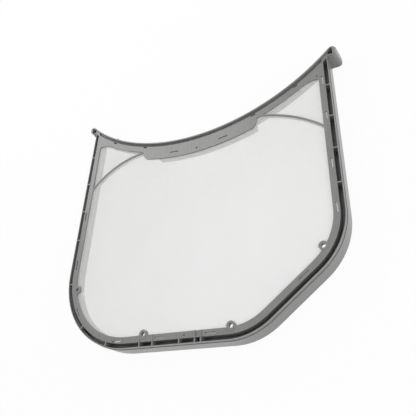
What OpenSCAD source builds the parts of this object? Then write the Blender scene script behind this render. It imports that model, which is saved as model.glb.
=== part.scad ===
// Dryer lint filter: a moulded front frame and back frame that clamp a stretched screen between
// them. It lies on its back face, front face up. The curved top edge is at +Y.
// Distances along Y are worked from the straight bottom edge of the flange and centred at the end.

/* [Panel outline] */
// Width over the flange, between the two side channels
panel_w = 399.2;  // [320:0.2:480]
// Radius of the lower left corner, at the flange's outer edge
corner_left_r = 110;  // [60:1:140]
// Height at which the slanted corner meets the right side, before rounding
cut_side = 93;  // [60:1:130]
// Distance from the middle to where the slanted corner meets the bottom, before rounding
cut_bottom = 84.4;  // [60:1:130]
// Rounding between the slanted corner and the right side
cut_side_r = 88;  // [40:1:100]
// Rounding between the slanted corner and the bottom
cut_bottom_r = 80;  // [40:1:100]
// Radius of the curved top edge, the same as the drum opening
arc_r = 302.6;  // [280:0.2:400]
// Lowest point of the curved top edge above the bottom of the flange
arc_low = 303.1;  // [260:0.1:340]

/* [Section] */
// Depth from the flange's face to the back edge
depth = 28;  // [22:0.5:36]
// Depth of the front frame, down to the seam
front_depth = 4.5;  // [3.5:0.1:7]
// Thickness of the flange
flange_t = 2;  // [1.4:0.1:3]
// Width of the flange round the window
flange_wide = 8.2;  // [6:0.1:14]
// Width of the channel round the outside
channel_wide = 5.7;  // [3:0.1:8]
// Thickness of the rim outside the channel
rim_t = 0.9;  // [0.8:0.1:3]
// How far the back frame's wall stands into the channel from under the rim
channel_step = 0.6;  // [0:0.1:1.5]
// How far the back frame stands out beyond the rim
step_out = 0.7;  // [0.2:0.1:1.2]
// Height of the groove under the rim
seam_gap = 1.6;  // [0.8:0.1:3]
// Depth of that groove behind the rim's face
seam_in = 0.4;  // [0.2:0.1:0.8]
// Thickness of the walls inside the frames
wall_t = 1.5;  // [1:0.1:2.5]
// Depth of the channel's floor below the flange's face
floor_depth = 14;  // [8:0.5:18]
// Thickness of the channel's floor
floor_t = 2;  // [1.2:0.1:3]
// Depth of the wall behind the window's edge
border_depth = 17;  // [10:0.5:20]
// Depth of the same wall behind the curved edge
top_border_depth = 9.6;  // [6:0.1:14]
// Depth of the ties between that wall and the curved edge's
tie_depth = 8.5;  // [6:0.1:14]

/* [Curved top] */
// Thickness of the raised lip along the curved edge
lip_wide = 1.8;  // [1.2:0.1:3]
// Height of the lip above the flange's face
lip_h = 2.4;  // [1:0.1:5]
// Depth of the gutter at the lip's foot, below the flange's face
gutter_depth = 2.3;  // [1:0.1:3]
// Width of the gutter's floor
gutter_floor = 1.5;  // [0.5:0.1:3]
// Width of the slope from its floor up to the flange
gutter_slope = 2.7;  // [0.5:0.1:4]
// Radius of the small nub on the lip's edge
nub_r = 1.9;  // [1.2:0.1:3]
// How far the nub stands out of the lip's edge
nub_out = 1.4;  // [0.5:0.1:1.5]
// Direction of the nub from the curved edge's centre
nub_deg = -30.2;  // [-36:0.1:36]
// Width of the top flange, from the gutter to the window
top_wide = 9.5;  // [6:0.1:14]
// Thickness of the wall behind the curved edge
top_wall = 2.4;  // [1.6:0.1:4]
// Width of the grip tab, from the gutter to its lower edge
tab_wide = 22.7;  // [16:0.1:34]
// Distance of the grip tab's left end from the middle
tab_left = 95.2;  // [60:0.1:120]
// The same for its right end
tab_right = 98.2;  // [60:0.1:120]
// Radius of the grip tab's corners
tab_corner_r = 13;  // [6:0.5:18]
// Depth of the small side windows' flat top below the curved edge's end at the flange's side
shoulder_drop = 37.8;  // [30:0.1:50]
// Radius of the small windows' outer corner
shoulder_r = 4;  // [2:0.5:8]
// Radius of the bend from the curved edge into that flat top
shoulder_bend_r = 40;  // [20:1:50]
// How far the pocket behind the tab stops short of the tab's left end
pocket_short_left = 29.5;  // [0:0.5:50]
// The same at the right end
pocket_short_right = 2.5;  // [0:0.5:50]
// Depth of the pocket behind the tab
pocket_depth = 12.5;  // [8:0.5:18]

/* [Struts] */
// Distance of the left strut arc's centre from the middle
strut_left_x = 94.5;  // [85:0.1:100]
// Its height
strut_left_y = 175.7;  // [165:0.1:185]
// Radius of the left strut's middle line
strut_left_r = 125.8;  // [115:0.1:135]
// Distance of the right strut arc's centre from the middle
strut_right_x = 57.4;  // [50:0.1:70]
// Its height
strut_right_y = 117.3;  // [105:0.1:130]
// Radius of the right strut's middle line
strut_right_r = 194.5;  // [180:0.1:205]
// Width of a strut
strut_wide = 1.8;  // [1.2:0.1:3]
// Depth of the strut in the back frame
strut_depth = 7.5;  // [4:0.5:12]

/* [Ears] */
// How far the ears stand out beyond the flange's side, at the seam
ear_reach = 19;  // [15:0.2:26]
// The same at the back edge
ear_reach_back = 22.6;  // [16:0.2:30]
// Depth of the ears' lower face below the curved edge's end at the flange's side
ear_drop = 1.5;  // [1:0.1:10]
// Radius of the ears' tips
ear_r = 5;  // [3:0.5:7]
// Radius of the ears' lower outer corner
ear_corner_r = 6;  // [3:0.5:8]
// Thickness of the ears' lower plate
ear_plate = 1.5;  // [1:0.1:3]
// Thickness of the ears' outer wall
ear_wall = 4;  // [2:0.1:5]

/* [Small features] */
// Outer radius of the fixing bosses
boss_r = 5.7;  // [4:0.1:8]
// Radius of the holes through the bosses
boss_hole_r = 2.75;  // [1.5:0.05:3.5]
// How far a boss stands above the flange
boss_up = 0.5;  // [0:0.1:1.5]
// Distance of a boss's middle from the flange's outer edge
boss_in = 9.6;  // [8:0.1:12]
// Distance of the boss beside the straight bottom from the middle of the panel
boss_left_x = 61.6;  // [30:0.5:80]
// Gap between a boss and the back frame's wall
boss_gap = 0.3;  // [0.1:0.05:0.6]
// Thickness of the ribs across the channel
rib_t = 1.5;  // [1:0.1:2.5]
// Width of a slot
slot_wide = 2.4;  // [1:0.1:3]
// Distance of a slot's middle line from the flange's outer edge
slot_in = 3.6;  // [2.6:0.1:4.6]
// Distance of the tab's slots from its lower edge
tab_slot_in = 8.7;  // [4:0.1:14]
// Distance of the slanted corner's slot from where its line meets the bottom
slot_cut = 89;  // [40:1:110]
// Length of a slot
slot_long = 15;  // [8:0.5:22]
// Radius of the round marks left by the mould
pip_r = 1.5;  // [0.8:0.1:2]
// Distance of the tab's mark from its lower edge
pip_tab = 6.8;  // [4:0.1:12]
// Distance of the mark near the ear from the flange's side
pip_side = 10.4;  // [6:0.1:14]
// Its height above the small window
pip_top = 4.8;  // [3:0.1:9]
// Depth of those marks
pip_deep = 1.4;  // [0.3:0.1:1.6]
// Height of the thin ribs that run on across the flange
run_h = 1.1;  // [0.4:0.1:2]
// Depth of the lowered floor between one pair of them
run_deep = 0.8;  // [0.3:0.1:1.4]

/* [Screen] */
// Thickness of the screen's cloth
screen_t = 0.3;  // [0.2:0.05:0.6]
// Gap between the screen's cut edge and the walls that stand round it
screen_gap = 0.3;  // [0.1:0.05:1]

/* [Hidden] */
$fn = 96;
// Sides used for the large arcs along the curved edge
arc_fn = 240;
half_w = panel_w / 2;
side_top = arc_low + arc_r - sqrt(pow(arc_r, 2) - pow(half_w, 2));
shoulder = side_top - shoulder_drop;
ear_low = side_top - ear_drop;
ear_front = half_w + ear_reach;
ear_back = half_w + ear_reach_back;
pocket_left = tab_left - pocket_short_left;
pocket_right = tab_right - pocket_short_right;
arc_y = arc_low + arc_r;
cut_deg = atan2(cut_side, half_w - cut_bottom);
cut_side_t = cut_side_r * tan((90 - cut_deg) / 2);
cut_bottom_t = cut_bottom_r * tan(cut_deg / 2);
side_cx = half_w - cut_side_r;
side_cy = cut_side + cut_side_t;
bottom_cx = cut_bottom - cut_bottom_t;
far = arc_y;
eps = 1;
// How far a wall reaches into its neighbour, so that the two join
bite = 0.5;
rim_in = channel_wide;
rim_out = channel_wide + rim_t;
out = rim_out + step_out;
wall_in = rim_in - channel_step;
lip_r = arc_r + lip_wide;
floor_r = lip_r + gutter_floor;
gutter_r = floor_r + gutter_slope;
top_r = gutter_r + top_wide;
tab_r = gutter_r + tab_wide;
tab_mid_r = tab_r - tab_corner_r;
tab_ends = [tab_corner_r - tab_left, tab_right - tab_corner_r];
bar_r = gutter_r + wall_t;
nub_at = arc_r + nub_r - nub_out;
seam_z = depth - front_depth;
groove_z = seam_z - seam_gap;
cloth_top = depth - flange_t;
cloth_low = cloth_top - screen_t;
gutter_z = depth - gutter_depth;
floor_z = depth - floor_depth;
// The ears' sides lean, and the axis of their lower corner stands a little nearer than its radius
ear_lean = atan((ear_back - ear_front) / seam_z);
corner_at = 0.98 * ear_corner_r;
bend_y = shoulder - shoulder_bend_r;
bend_x = sqrt(pow(top_r + shoulder_bend_r, 2) - pow(arc_y - bend_y, 2));
bend_share = top_r / (top_r + shoulder_bend_r);
low_y = -out;
high_y = arc_y - sqrt(pow(arc_r + ear_r, 2) - pow(ear_back - ear_r, 2)) + ear_r;
mid_y = (low_y + high_y) / 2;

// Directions of the three bosses that stand on the corner arcs, from each arc's centre
boss_side_deg = -34.6;
boss_bottom_deg = -86;
boss_corner_deg = -164.8;
// Where the bosses stand: distance from the middle, height
bosses = [
    [side_cx + (cut_side_r - boss_in) * cos(boss_side_deg),
     side_cy + (cut_side_r - boss_in) * sin(boss_side_deg)],
    [bottom_cx + (cut_bottom_r - boss_in) * cos(boss_bottom_deg),
     cut_bottom_r + (cut_bottom_r - boss_in) * sin(boss_bottom_deg)],
    [-boss_left_x, boss_in],
    [-half_w + corner_left_r + (corner_left_r - boss_in) * cos(boss_corner_deg),
     corner_left_r + (corner_left_r - boss_in) * sin(boss_corner_deg)]
];
// Heights of the ribs across the side channels, and positions of those along the bottom
ribs_right = [324.5, 271.0, 219.9, 169.0];
ribs_left = [322.3, 268.4, 216.9, 165.9];
ribs_bottom = [-66.7, -46.9, -8.3, 13.4, 21.6];
// Directions of the ribs round the lower left corner, from its centre
ribs_corner = [-171.6, -133, -106.1];
// The same for the slots
slots_right = [335.3, 272.3, 198.5, 136.3];
slots_left = [205.7, 123.5];
slots_bottom = [34.6, -36.4, -103.4];
// Angles of the slots along the lip, and of the ties behind the top flange
slots_lip = [-30.8, -17.7, 17.5, 30.6];
slots_tab = [-6.7, 8.1];
slot_corner = -145;
ties_top = [-36, -28, -20, -12, -4, 4, 12, 20, 28, 36];
// Marks left by the mould: on the tab, at the bottom and near the right ear
pips = [[2.2, arc_y - tab_r + pip_tab], [-0.9, slot_in], [half_w - pip_side, shoulder + pip_top]];
// Positions of the ties behind the slanted corner, from where its line meets the bottom
ties_cut = [36, 72, 102];
// Pairs of ribs that run on across the flange, with the floor between them lowered
runs = [[-66.7, -46.9], [13.4, 21.6]];
// The two struts: side, distance of the arc's centre from the middle, its height, radius
struts = [
    [-1, strut_left_x, strut_left_y, strut_left_r],
    [1, strut_right_x, strut_right_y, strut_right_r]
];

// Panel outline, grown by d: straight edges, true arcs at the three corners, open at the top
module outline(d) {
    union() {
        polygon([
            [-half_w - d, far],
            [-half_w - d, corner_left_r],
            [-half_w + corner_left_r, -d],
            [bottom_cx, -d],
            [bottom_cx + (cut_bottom_r + d) * sin(cut_deg),
             cut_bottom_r - (cut_bottom_r + d) * cos(cut_deg)],
            [side_cx + (cut_side_r + d) * sin(cut_deg), side_cy - (cut_side_r + d) * cos(cut_deg)],
            [half_w + d, side_cy],
            [half_w + d, far]
        ]);
        translate([-half_w + corner_left_r, corner_left_r]) circle(r = corner_left_r + d);
        translate([side_cx, side_cy]) circle(r = cut_side_r + d);
        translate([bottom_cx, cut_bottom_r]) circle(r = cut_bottom_r + d);
    }
}

// Everything within r of the curved edge's centre
module top_disc(r) {
    translate([0, arc_y]) circle(r = r, $fn = arc_fn);
}

// Ring between two growths of the outline, kept below the curve of radius r
module band(d1, d2, r) {
    difference() {
        outline(d2);
        outline(d1);
        top_disc(r);
    }
}

// Strip along the curved edge between two radii, kept inside the outline grown by d
module arc_strip(r1, r2, d) {
    difference() {
        intersection() {
            top_disc(r2);
            outline(d);
        }
        top_disc(r1);
    }
}

// Wedge from the curved edge's centre between two angles off the middle
module wedge(a1, a2) {
    am = (a1 + a2) / 2;
    polygon([
        [0, arc_y],
        [far * sin(a1), arc_y - far * cos(a1)],
        [far * 1.2 * sin(am), arc_y - far * 1.2 * cos(am)],
        [far * sin(a2), arc_y - far * cos(a2)]
    ]);
}

// Grip tab, from the gutter down
module tab_shape() {
    union() {
        intersection() {
            difference() {
                top_disc(tab_r);
                top_disc(gutter_r);
            }
            wedge(asin(tab_ends[0] / tab_mid_r), asin(tab_ends[1] / tab_mid_r));
        }
        for (x = tab_ends) {
            translate([x, arc_y - sqrt(pow(tab_mid_r, 2) - pow(x, 2))]) circle(r = tab_corner_r);
        }
    }
}

// Corner of the small windows: everything above the shoulder, with a rounded outer end
module shoulder_shape() {
    inner = half_w - flange_wide;
    difference() {
        translate([-far / 2, shoulder - shoulder_r]) square([far, far]);
        translate([-inner + shoulder_r, shoulder - shoulder_r - eps]) {
            square([2 * (inner - shoulder_r), shoulder_r + eps]);
        }
        for (s = [-1, 1]) {
            translate([s * (inner - shoulder_r), shoulder - shoulder_r]) circle(r = shoulder_r);
        }
    }
}

// Bend between the curved edge and the shoulders, outside an arc that is tangent to both
module shoulder_bends() {
    for (s = [-1, 1]) {
        difference() {
            polygon([
                [s * bend_x * bend_share, arc_y - (arc_y - bend_y) * bend_share],
                [s * bend_x * bend_share, shoulder + eps],
                [s * bend_x, shoulder + eps],
                [s * bend_x, bend_y]
            ]);
            translate([s * bend_x, bend_y]) circle(r = shoulder_bend_r);
        }
    }
}

// The two struts, of width w
module strut_shape(w) {
    for (p = struts) {
        mirror([p[0] > 0 ? 0 : 1, 0]) {
            intersection() {
                translate([p[1], p[2]]) {
                    difference() {
                        circle(r = p[3] + w / 2);
                        circle(r = p[3] - w / 2);
                    }
                }
                translate([p[1] - flange_wide, p[2]]) square([far, far]);
                difference() {
                    square([half_w - flange_wide + bite, far]);
                    top_disc(bar_r);
                }
            }
        }
    }
}

// The window without its struts
module window_shape() {
    difference() {
        outline(-flange_wide);
        top_disc(top_r);
        tab_shape();
        shoulder_shape();
        shoulder_bends();
    }
}

// Outline of the right ear, reaching out to x
module ear_shape(x) {
    cx = x - ear_r;
    cy = arc_y - sqrt(pow(arc_r + ear_r, 2) - pow(cx, 2));
    tx = cx * arc_r / (arc_r + ear_r);
    ty = arc_y - (arc_y - cy) * arc_r / (arc_r + ear_r);
    root = half_w + rim_out - bite;
    difference() {
        union() {
            polygon([[root, ear_low], [x, ear_low], [x, cy], [cx, cy], [tx, ty], [root, ty]]);
            translate([cx, cy]) circle(r = ear_r);
        }
        top_disc(arc_r);
    }
}

// The same at the front, with its lower outer corner rounded
module ear_front_shape() {
    union() {
        difference() {
            ear_shape(ear_front);
            translate([ear_front - ear_corner_r, ear_low - eps]) {
                square([ear_corner_r + eps, ear_corner_r + eps]);
            }
        }
        translate([ear_front - ear_corner_r, ear_low + ear_corner_r]) circle(r = ear_corner_r);
    }
}

// Pocket in the front of the right ear
module ear_hole() {
    difference() {
        translate([half_w + rim_out + wall_t, ear_low + ear_plate]) {
            square([ear_reach - ear_wall - rim_out - wall_t, arc_y - ear_low]);
        }
        top_disc(lip_r);
    }
}

// What the back frame's right ear loses: its side leans in and its lower corner is rounded
module ear_trim() {
    rotate([90, 0, 0]) translate([0, 0, -far]) linear_extrude(height = far) {
        polygon([[ear_back, 0], [ear_front, seam_z], [ear_back + eps, seam_z], [ear_back + eps, 0]]);
    }
    translate([ear_back - corner_at / cos(ear_lean), ear_low + corner_at, 0]) {
        rotate([0, -ear_lean, 0]) difference() {
            translate([0, -ear_corner_r - eps, -depth]) {
                cube([ear_corner_r + eps, ear_corner_r + eps, 3 * depth]);
            }
            translate([0, 0, -2 * depth]) cylinder(r = ear_corner_r, h = 5 * depth);
        }
    }
}

// Slot lying along X, its middle at the origin
module slot_bar() {
    straight = slot_long - slot_wide;
    union() {
        square([straight, slot_wide], center = true);
        for (s = [-1, 1]) {
            translate([s * straight / 2, 0]) circle(r = slot_wide / 2);
        }
    }
}

// All the slots through the flange
module slots() {
    for (y = slots_right) {
        translate([half_w - slot_in, y]) rotate(90) slot_bar();
    }
    for (y = slots_left) {
        translate([-half_w + slot_in, y]) rotate(90) slot_bar();
    }
    for (x = slots_bottom) {
        translate([x, slot_in]) slot_bar();
    }
    // on the slanted corner
    translate([cut_bottom, 0]) rotate(cut_deg) translate([slot_cut, slot_in]) slot_bar();
    // on the lower left corner
    translate([-half_w + corner_left_r, corner_left_r]) {
        rotate(slot_corner) translate([corner_left_r - slot_in, 0]) rotate(90) slot_bar();
    }
    // on the tab
    for (a = slots_tab) {
        translate([0, arc_y]) rotate(a) translate([0, tab_slot_in - tab_r]) slot_bar();
    }
    // along the gutter
    for (a = slots_lip) {
        translate([0, arc_y]) rotate(a) translate([0, -gutter_r - slot_wide / 2]) {
            square([slot_long / 2, slot_wide], center = true);
        }
    }
}

// Ribs across the channel, drawn from d1 inside to d2 outside the flange's edge
module rib_bars(d1, d2) {
    for (y = ribs_right) {
        translate([half_w + d1, y - rib_t / 2]) square([d2 - d1, rib_t]);
    }
    for (y = ribs_left) {
        translate([-half_w - d2, y - rib_t / 2]) square([d2 - d1, rib_t]);
    }
    for (x = ribs_bottom) {
        translate([x - rib_t / 2, -d2]) square([rib_t, d2 - d1]);
    }
    for (a = ribs_corner) {
        translate([-half_w + corner_left_r, corner_left_r]) rotate(a) {
            translate([corner_left_r + d1, -rib_t / 2]) square([d2 - d1, rib_t]);
        }
    }
}

// Bars along the slanted corner, in the back frame only
module cut_bars(d1, d2) {
    for (t = ties_cut) {
        translate([cut_bottom, 0]) rotate(cut_deg) translate([t - rib_t / 2, -d2]) {
            square([rib_t, d2 - d1]);
        }
    }
}

// Gutter at the lip's foot: a flat floor, then a slope up to the flange
module gutter() {
    intersection() {
        translate([0, arc_y, 0]) rotate_extrude($fn = arc_fn) {
            polygon([
                [lip_r, depth + eps], [lip_r, gutter_z], [floor_r, gutter_z], [gutter_r, depth],
                [gutter_r, depth + eps]
            ]);
        }
        linear_extrude(height = 2 * depth) outline(-wall_t);
    }
}

// Front moulding: flange, tab and struts over the screen, channel ribs, rim, lip, bosses, ears
module front_frame() color([0.55, 0.55, 0.55]) translate([0, -mid_y, 0]) {
    difference() {
        union() {
            difference() {
                union() {
                    // flange with tab and struts
                    translate([0, 0, cloth_top]) linear_extrude(height = flange_t) {
                        union() {
                            difference() {
                                outline(0);
                                top_disc(arc_r);
                                window_shape();
                            }
                            strut_shape(strut_wide);
                        }
                    }
                    // skirt down the inner side of the channel
                    translate([0, 0, seam_z]) linear_extrude(height = front_depth - flange_t) {
                        band(-wall_t, 0, arc_r);
                    }
                    // rim outside the channel, ribs across it, bar along the top, ears
                    translate([0, 0, seam_z]) linear_extrude(height = front_depth) {
                        union() {
                            band(rim_in, rim_out, arc_r);
                            rib_bars(-wall_t, rim_in + rim_t / 2);
                            arc_strip(arc_r, bar_r, rim_out);
                            for (s = [0, 1]) mirror([s, 0]) {
                                difference() {
                                    ear_front_shape();
                                    ear_hole();
                                }
                            }
                        }
                    }
                }
                gutter();
            }
            // lip along the curved edge, out over the ears, with a nub on its edge
            translate([0, 0, depth]) linear_extrude(height = lip_h) {
                union() {
                    difference() {
                        intersection() {
                            union() {
                                outline(rim_out);
                                for (s = [0, 1]) mirror([s, 0]) ear_front_shape();
                            }
                            top_disc(lip_r);
                        }
                        top_disc(arc_r);
                    }
                    translate([nub_at * sin(nub_deg), arc_y - nub_at * cos(nub_deg)]) {
                        circle(r = nub_r);
                    }
                    // outer walls of the ears, as high as the lip
                    for (s = [0, 1]) mirror([s, 0]) {
                        intersection() {
                            ear_front_shape();
                            translate([ear_front - ear_wall, 0]) square([far, far]);
                        }
                    }
                }
            }
            // bosses, joined to the flange
            for (b = bosses) {
                translate([b[0], b[1], seam_z]) cylinder(r = boss_r, h = front_depth + boss_up);
            }
            // thin raised edges where two pairs of ribs run on across the flange
            for (p = runs, x = p) {
                translate([x - rib_t / 2, 0, depth - eps]) cube([rib_t, flange_wide, run_h + eps]);
            }
        }
        for (b = bosses) {
            translate([b[0], b[1], seam_z - eps]) cylinder(r = boss_hole_r, h = depth);
        }
        translate([0, 0, cloth_top - eps]) linear_extrude(height = flange_t + 2 * eps) slots();
        // mould marks
        for (m = pips) {
            translate([m[0], m[1], depth - pip_deep]) cylinder(r = pip_r, h = depth);
        }
        // lowered floor between the right hand pair of running ribs
        translate([runs[1][0] + rib_t / 2, wall_t, depth - run_deep]) {
            cube([runs[1][1] - runs[1][0] - rib_t, flange_wide, depth]);
        }
    }
}

// Back moulding: deep outer wall, channel floor, walls under the screen's edge, ears
module back_frame() color([0.6, 0.6, 0.6]) translate([0, -mid_y, 0]) {
    difference() {
        union() {
            // outer wall, and the neck behind the seam groove
            linear_extrude(height = groove_z) band(wall_in, out, arc_r);
            translate([0, 0, groove_z]) linear_extrude(height = seam_gap) {
                band(wall_in, rim_out - seam_in, arc_r);
            }
            // channel floor and the channel's inner wall
            translate([0, 0, floor_z - floor_t]) linear_extrude(height = floor_t) {
                band(-wall_t, wall_in + bite, arc_r);
            }
            translate([0, 0, floor_z - floor_t]) {
                linear_extrude(height = seam_z - floor_z + floor_t) band(-wall_t, 0, arc_r);
            }
            // wall behind the curved edge, thicker where it closes the channel's ends
            linear_extrude(height = seam_z) {
                union() {
                    arc_strip(arc_r, arc_r + top_wall, rim_out - seam_in);
                    difference() {
                        arc_strip(arc_r, bar_r, rim_out - seam_in);
                        outline(-wall_t);
                    }
                }
            }
            // wall under the window's edge: sides and bottom, then the curved part
            translate([0, 0, depth - border_depth]) {
                linear_extrude(height = cloth_low - depth + border_depth) {
                    band(-flange_wide, wall_t - flange_wide, top_r - wall_t);
                }
            }
            translate([0, 0, depth - top_border_depth]) {
                linear_extrude(height = cloth_low - depth + top_border_depth) {
                    arc_strip(top_r - wall_t, top_r, bite - flange_wide);
                }
            }
            // struts under the screen, below those of the front frame
            translate([0, 0, depth - strut_depth]) {
                linear_extrude(height = cloth_low - depth + strut_depth) {
                    difference() {
                        strut_shape(wall_t);
                        top_disc(top_r - wall_t / 2);
                    }
                }
            }
            // walls round the pocket behind the tab
            translate([0, 0, depth - pocket_depth]) {
                linear_extrude(height = cloth_low - depth + pocket_depth) {
                    difference() {
                        intersection() {
                            difference() {
                                top_disc(tab_r);
                                top_disc(top_r - wall_t);
                            }
                            translate([-pocket_left, 0]) square([pocket_left + pocket_right, far]);
                        }
                        intersection() {
                            top_disc(tab_r - wall_t);
                            translate([wall_t - pocket_left, 0]) {
                                square([pocket_left + pocket_right - 2 * wall_t, far]);
                            }
                        }
                    }
                }
            }
            // ties between the inner wall and the window's wall, in line with the channel ribs
            translate([0, 0, depth - border_depth]) {
                linear_extrude(height = seam_z - depth + border_depth) {
                    union() {
                        rib_bars(wall_t / 2 - flange_wide, -wall_t / 2);
                        cut_bars(wall_t / 2 - flange_wide, -wall_t / 2);
                    }
                }
            }
            // ties across the channel
            translate([0, 0, floor_z - eps]) linear_extrude(height = seam_z - floor_z + eps) {
                rib_bars(-wall_t / 2, wall_in + bite);
            }
            // ties behind the top flange
            translate([0, 0, depth - tie_depth]) {
                linear_extrude(height = seam_z - depth + tie_depth) {
                    for (a = ties_top) {
                        translate([0, arc_y]) rotate(a) {
                            translate([-rib_t / 2, -top_r + wall_t / 2]) {
                                square([rib_t, top_r - arc_r - top_wall / 2 - wall_t / 2]);
                            }
                        }
                    }
                }
            }
            // ears: hollow boxes open at the front
            for (s = [0, 1]) mirror([s, 0, 0]) {
                difference() {
                    linear_extrude(height = seam_z) ear_shape(ear_back);
                    translate([0, 0, floor_t]) linear_extrude(height = seam_z) ear_hole();
                    ear_trim();
                }
            }
        }
        // room for the bosses
        for (b = bosses) {
            translate([b[0], b[1], seam_z - eps]) cylinder(r = boss_r + boss_gap, h = depth);
            translate([b[0], b[1], -eps]) cylinder(r = boss_hole_r + boss_gap, h = depth);
        }
    }
}

// Screen: a flat stretched sheet under the whole flange, cut out round the bosses
module screen() color([0.9, 0.9, 0.9]) translate([0, -mid_y, 0]) {
    translate([0, 0, cloth_low]) linear_extrude(height = screen_t) {
        difference() {
            outline(-wall_t - screen_gap);
            top_disc(bar_r + screen_gap);
            for (b = bosses) {
                translate([b[0], b[1]]) circle(r = boss_r + boss_gap);
            }
        }
    }
}

front_frame();
back_frame();
screen();
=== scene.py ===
"""A dryer's lint filter: two moulded frames that hold a fine screen between them."""

import bpy
import numpy as np
from mathutils import Matrix, Vector


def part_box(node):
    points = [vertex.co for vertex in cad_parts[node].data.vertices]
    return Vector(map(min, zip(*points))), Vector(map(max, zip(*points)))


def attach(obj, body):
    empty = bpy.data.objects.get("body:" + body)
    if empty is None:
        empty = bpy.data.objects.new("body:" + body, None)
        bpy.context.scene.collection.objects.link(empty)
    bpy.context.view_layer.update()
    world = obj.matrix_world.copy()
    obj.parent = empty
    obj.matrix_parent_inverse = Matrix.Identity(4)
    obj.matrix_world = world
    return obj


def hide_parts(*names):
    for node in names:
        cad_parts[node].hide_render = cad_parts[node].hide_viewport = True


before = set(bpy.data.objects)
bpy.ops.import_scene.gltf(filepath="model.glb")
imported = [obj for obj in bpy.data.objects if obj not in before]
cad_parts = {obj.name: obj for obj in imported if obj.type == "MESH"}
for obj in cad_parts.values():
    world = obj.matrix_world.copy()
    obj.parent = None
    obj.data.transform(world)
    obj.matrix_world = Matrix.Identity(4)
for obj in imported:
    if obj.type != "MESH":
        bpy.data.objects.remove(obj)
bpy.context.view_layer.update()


# The front frame is one moulding of grey polypropylene: the flange that clamps the screen,
# with its tab, struts, slots and ringed holes, and the ribs, the rim and the lip round it.
# Its faces came from a spark-textured mould, and a painted highlight lightens its edges.
DARK_GREY = (0.175, 0.175, 0.172)
LIGHT_GREY = (0.25, 0.25, 0.245)
# the painted highlight along the edges: its lighter grey, and how far into the plastic thin places
# are sought
EDGE_HIGHLIGHT_GREY = (0.36, 0.36, 0.355)
EDGE_HIGHLIGHT_REACH = 0.0007
EDGE_RADIUS = 0.0006
TEXTURE_DEPTH = 0.00004


class Shade:
    """A socket of a material's nodes; sums written on it add Math nodes."""

    def __init__(self, tree, socket=None):
        self.tree, self.socket = tree, socket

    def node(self, kind, settings=(), out=0, **links):
        """Adds a node of that kind: its settings first, then its sockets' values or links.

        A ramp's stops are (place, grey) pairs, and a socket named i2 is the input number 2.
        """
        made = self.tree.nodes.new(kind)
        for name, value in dict(settings).items():
            if name == "stops":
                for spare in list(made.color_ramp.elements)[1:]:
                    made.color_ramp.elements.remove(spare)
                made.color_ramp.elements[0].position = value[0][0]
                for at, _ in value[1:]:
                    made.color_ramp.elements.new(at)
                for stop, (_, grey) in zip(made.color_ramp.elements, value):
                    stop.color = (grey, grey, grey, 1)
            else:
                setattr(made, name, value)
        for name, value in links.items():
            name = name.replace("_", " ")
            socket = made.inputs[int(name[1:]) if name[1:].isdigit() else name]
            if isinstance(value, Shade):
                self.tree.links.new(value.socket, socket)
            else:
                socket.default_value = value
        return Shade(self.tree, made.outputs[out]) if len(made.outputs) else None

    def maths(self, operation, *values):
        sockets = {f"i{k}": value for k, value in enumerate(values)}
        return self.node("ShaderNodeMath", {"operation": operation}, **sockets)

    def __add__(self, other):
        return self.maths("ADD", self, other)

    def __sub__(self, other):
        return self.maths("SUBTRACT", self, other)

    def __rsub__(self, other):
        return self.maths("SUBTRACT", other, self)

    def __mul__(self, other):
        return self.maths("MULTIPLY", self, other)

    __radd__, __rmul__ = __add__, __mul__

    def ramp(self, *stops):
        return self.node("ShaderNodeValToRGB", {"stops": stops}, Fac=self)

    def noise(self, scale, detail, rough):
        return self.node(
            "ShaderNodeTexNoise", Vector=self, Scale=scale, Detail=detail, Roughness=rough
        )

    def tinted(self, low, high):
        """A colour that runs from low to high as this value runs from 0 to 1."""
        ends = [end if isinstance(end, Shade) else (*end, 1) for end in (low, high)]
        return self.node("ShaderNodeMix", {"data_type": "RGBA"}, 2, i0=self, i6=ends[0], i7=ends[1])


def finish_of(name, build):
    """A material whose Principled shader takes what build(coordinates) returns."""
    material = bpy.data.materials.new(name)
    material.use_nodes = True
    tree = material.node_tree
    tree.nodes.clear()
    start = Shade(tree)
    where = start.node("ShaderNodeTexCoord", out="Object")
    skin = start.node("ShaderNodeBsdfPrincipled", **build(where))
    start.node("ShaderNodeOutputMaterial", Surface=skin)
    return material


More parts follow.
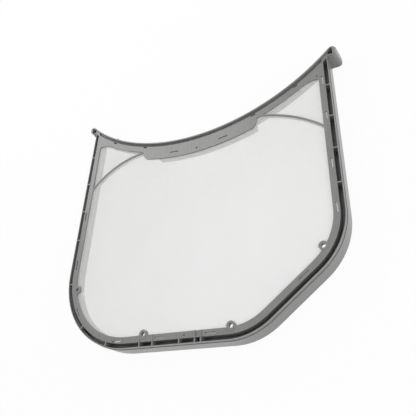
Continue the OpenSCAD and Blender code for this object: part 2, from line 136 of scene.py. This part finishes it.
def moulded(seed):
    """Moulded grey polypropylene: mottled colour, flow marks, texture, and a painted highlight
    along the edges.
    """

    def build(where):
        moved = where.node(
            "ShaderNodeMapping", Vector=where, Location=(seed, 2.0 * seed, 0.5 * seed)
        )
        stretched = where.node("ShaderNodeMapping", Vector=moved, Scale=(1.0, 0.25, 1.0))
        # patches some centimetres wide, streaks left by the flow, the mould's fine texture,
        # and small spots that shine a little more
        mottle = moved.noise(scale=22.0, detail=4.0, rough=0.6)
        flow = stretched.noise(scale=160.0, detail=3.0, rough=0.55)
        grain = moved.noise(scale=2600.0, detail=2.0, rough=0.6)
        speck = moved.noise(scale=900.0, detail=1.0, rough=0.5).ramp((0.66, 0.0), (0.74, 1.0))
        tone = mottle * 0.5 + flow * 0.3 + grain * 0.2
        # edges are eased in the light, and get a painted highlight where the plastic behind them is
        # thin
        eased = where.node("ShaderNodeBevel", {"samples": 4}, Radius=EDGE_RADIUS)
        inwards = {"samples": 8, "inside": True, "only_local": True}
        solid = where.node("ShaderNodeAmbientOcclusion", inwards, 1, Distance=EDGE_HIGHLIGHT_REACH)
        # painted highlight: a lighter grey and a little less roughness along edges where the
        # plastic behind is thin
        painted_edge_highlight = (1.0 - solid) * (mottle * 0.8 + 1.2)
        texture = where.node(
            "ShaderNodeBump",
            Height=grain * 0.7 + flow * 0.3,
            Strength=0.35,
            Distance=TEXTURE_DEPTH,
            Normal=eased,
        )
        plain = (tone * 1.6 - 0.3).tinted(DARK_GREY, LIGHT_GREY)
        return {
            "Base_Color": painted_edge_highlight.tinted(plain, EDGE_HIGHLIGHT_GREY),
            "Roughness": mottle * 0.12 + flow * 0.06 + 0.2 - speck * 0.06 - painted_edge_highlight * 0.08,
            "Normal": texture,
            "IOR": 1.49,
        }

    return build


def wear(node, material):
    """Gives one of the mouldings its material."""
    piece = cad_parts[node]
    piece.data.materials.clear()
    piece.data.materials.append(material)


wear("front_frame", finish_of("front_polypropylene", moulded(3.0)))


# The back frame is the deep moulding behind the seam, in the same grey polypropylene: the
# outer wall, the floor of the dark channel, the walls seen through the screen and the ears.
# It came from another mould, so its mottling and flow marks lie elsewhere.
wear("back_frame", finish_of("back_polypropylene", moulded(11.0)))


# The screen is woven from fine round nylon threads, one layer across the other. It is stretched
# flat and trapped under the flange, which grips its edge all round. Its threads end at the outline
# of the cut cloth.
THREAD = 0.00018
PITCH = 0.00044
THREAD_SIDES = 6
SHORTEST_RUN = 2 * PITCH
JOIN_GAP = 0.0002
FACES_UP = 0.9
CLOUDY_NYLON = (0.86, 0.86, 0.852)
CLEAR_NYLON = (0.97, 0.97, 0.96)
SLUB_DEPTH = 0.00002


def runs_inside(triangles, along, across, at):
    """Where the line at that place across the screen runs inside it, as (from, to) pairs."""
    spans = []
    met = (triangles[:, :, across].min(1) < at) & (triangles[:, :, across].max(1) > at)
    for corners in triangles[met]:
        cuts = []
        for k in range(3):
            a, b = corners[k], corners[k - 1]
            if (a[across] - at) * (b[across] - at) < 0:
                share = (at - a[across]) / (b[across] - a[across])
                cuts.append(a[along] + share * (b[along] - a[along]))
        if len(cuts) == 2:
            spans.append(sorted(cuts))
    joined = []
    for low, high in sorted(spans):
        if joined and low < joined[-1][1] + JOIN_GAP:
            joined[-1][1] = max(high, joined[-1][1])
        else:
            joined.append([low, high])
    return [run for run in joined if run[1] - run[0] > SHORTEST_RUN]


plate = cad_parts["screen"].data
plate.calc_loop_triangles()
low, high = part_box("screen")
spots = np.array([v.co for v in plate.vertices])
faces = np.array([t.vertices[:] for t in plate.loop_triangles])
face_up = np.array([t.normal.z for t in plate.loop_triangles]) > FACES_UP
top_faces = spots[faces[face_up]]

# the lower threads run from front to back, and the upper ones lie across them
ends = []
for along, across, height in ((1, 0, low.z + THREAD / 2), (0, 1, high.z - THREAD / 2)):
    count = int((high[across] - low[across]) / PITCH)
    first = (high[across] + low[across] - (count - 1) * PITCH) / 2
    for k in range(count):
        at = first + k * PITCH
        for run in runs_inside(top_faces, along, across, at):
            for reach in run:
                end = [0.0, 0.0, height]
                end[along], end[across] = reach, at
                ends.append(end)
lines = bpy.data.meshes.new("thread_lines")
lines.from_pydata(ends, [(k, k + 1) for k in range(0, len(ends), 2)], [])
threads = bpy.data.objects.new("thread_lines", lines)
bpy.context.scene.collection.objects.link(threads)


def nylon(where):
    """Clear nylon, a little cloudy in patches, with faint thick and thin places."""
    haze = where.noise(scale=14.0, detail=3.0, rough=0.55)
    slub = where.noise(scale=700.0, detail=2.0, rough=0.6)
    return {
        "Base_Color": (haze * 0.6 + slub * 0.4).tinted(CLOUDY_NYLON, CLEAR_NYLON),
        "Roughness": slub * 0.2 + 0.35,
        "Normal": where.node("ShaderNodeBump", Height=slub, Strength=0.3, Distance=SLUB_DEPTH),
        "IOR": 1.53,
    }


nylon_thread = finish_of("nylon_thread", nylon)

# the weave sweeps a thin round tube along every line
weaver = bpy.data.node_groups.new("weave_screen", "GeometryNodeTree")
weaver.interface.new_socket("Lines", in_out="INPUT", socket_type="NodeSocketGeometry")
weaver.interface.new_socket("Thread diameter", in_out="INPUT", socket_type="NodeSocketFloat")
weaver.interface.new_socket("Thread", in_out="INPUT", socket_type="NodeSocketMaterial")
weaver.interface.new_socket("Screen", in_out="OUTPUT", socket_type="NodeSocketGeometry")


def geo(kind, **links):
    """Adds a Geometry Nodes node whose sockets take those values or outputs."""
    made = weaver.nodes.new(kind)
    for name, value in links.items():
        socket = made.inputs[name.replace("_", " ")]
        if isinstance(value, bpy.types.NodeSocket):
            weaver.links.new(value, socket)
        else:
            socket.default_value = value
    return made.outputs[0]


given = weaver.nodes.new("NodeGroupInput").outputs
half = weaver.nodes.new("ShaderNodeMath")
half.operation = "MULTIPLY"
half.inputs[1].default_value = 0.5
weaver.links.new(given["Thread diameter"], half.inputs[0])
swept = geo(
    "GeometryNodeCurveToMesh",
    Curve=geo("GeometryNodeMeshToCurve", Mesh=given["Lines"]),
    Profile_Curve=geo(
        "GeometryNodeCurvePrimitiveCircle", Resolution=THREAD_SIDES, Radius=half.outputs[0]
    ),
    Fill_Caps=True,
)
clothed = geo(
    "GeometryNodeSetMaterial",
    Geometry=geo("GeometryNodeRealizeInstances", Geometry=swept),
    Material=given["Thread"],
)
weaver.links.new(clothed, weaver.nodes.new("NodeGroupOutput").inputs[0])
modifier = threads.modifiers.new("weave", "NODES")
modifier.node_group = weaver
for item in weaver.interface.items_tree:
    if item.name == "Thread diameter":
        modifier[item.identifier] = THREAD
    elif item.name == "Thread":
        modifier[item.identifier] = nylon_thread

bpy.context.view_layer.update()
shown = threads.evaluated_get(bpy.context.evaluated_depsgraph_get())
screen = bpy.data.objects.new("screen_cloth", bpy.data.meshes.new_from_object(shown))
bpy.context.scene.collection.objects.link(screen)
bpy.data.objects.remove(threads)
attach(screen, "root")
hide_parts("screen")


# The studio is a white table and white air. The table shows white where nothing shades it,
# and keeps a faint shadow of the filter that lies on it. A wide soft lamp stands behind on
# the left, and a weaker one low on the right.
WHITE = (1, 1, 1, 1)
TABLE_WHITE = (0.86, 0.86, 0.86, 1)
TABLE_HALF = 6.0
TABLE_GLOW = 0.94
AIR_LIGHT = 0.73
bpy.context.scene.view_settings.view_transform = "Standard"


def studio(tree, shown, lit):
    """Rays from the camera, gloss and glass meet shown; all other rays meet lit."""
    start = Shade(tree)
    path = tree.nodes.new("ShaderNodeLightPath")
    kinds = ("Camera", "Glossy", "Transmission")
    rays = [Shade(tree, path.outputs[f"Is {kind} Ray"]) for kind in kinds]
    seen = start.maths("MINIMUM", rays[0] + rays[1] + rays[2], 1.0)
    return start.node("ShaderNodeMixShader", Fac=seen, i1=lit, i2=shown)


world = bpy.data.worlds.new("white_air")
world.use_nodes = True
bpy.context.scene.world = world
air = world.node_tree
air.nodes.clear()
start = Shade(air)
white = start.node("ShaderNodeBackground", Color=WHITE, Strength=1.0)
soft = start.node("ShaderNodeBackground", Color=WHITE, Strength=AIR_LIGHT)
start.node("ShaderNodeOutputWorld", Surface=studio(air, white, soft))

table = bpy.data.meshes.new("table")
corners = [(x * TABLE_HALF, y * TABLE_HALF, 0) for x, y in ((-1, -1), (1, -1), (1, 1), (-1, 1))]
table.from_pydata(corners, [], [(0, 1, 2, 3)])
floor = bpy.data.objects.new("table", table)
bpy.context.scene.collection.objects.link(floor)
paper = bpy.data.materials.new("table_paper")
paper.use_nodes = True
paint = paper.node_tree
paint.nodes.clear()
start = Shade(paint)
lit = start.node("ShaderNodeBsdfDiffuse", Color=TABLE_WHITE)
glow = start.node("ShaderNodeEmission", Color=WHITE, Strength=1.0)
faint = start.node("ShaderNodeMixShader", Fac=TABLE_GLOW, i1=lit, i2=glow)
start.node("ShaderNodeOutputMaterial", Surface=studio(paint, faint, lit))
table.materials.append(paper)


def lamp(name, power, size, place):
    """A square soft lamp that faces the middle of the table."""
    light = bpy.data.lights.new(name, "AREA")
    light.energy, light.size = power, size
    made = bpy.data.objects.new(name, light)
    made.location = place
    made.rotation_euler = (-Vector(place)).to_track_quat("-Z", "Y").to_euler()
    bpy.context.scene.collection.objects.link(made)


lamp("key", power=6.0, size=0.9, place=(-0.70, 0.84, 0.95))
lamp("fill", power=4.5, size=0.8, place=(1.3, -0.3, 0.35))


# The camera stands in front, to the right and above, as for the photograph. Its place and
# the ways it points come from a fit to the straight sides and the ringed holes.
EYE = Vector((0.28658, -0.31947, 0.50837))
RIGHT = Vector((0.88648, 0.03309, -0.46158))
UP = Vector((0.19613, 0.87656, 0.43952))
BACK = Vector((0.41914, -0.48016, 0.77057))
lens = bpy.data.cameras.new("camera")
lens.sensor_width = 36.0
lens.lens = 39.69
lens.clip_start = 0.01
camera = bpy.data.objects.new("camera", lens)
turned = Matrix((RIGHT, UP, BACK)).transposed().to_4x4()
camera.matrix_world = Matrix.Translation(EYE) @ turned
bpy.context.scene.collection.objects.link(camera)
bpy.context.scene.camera = camera
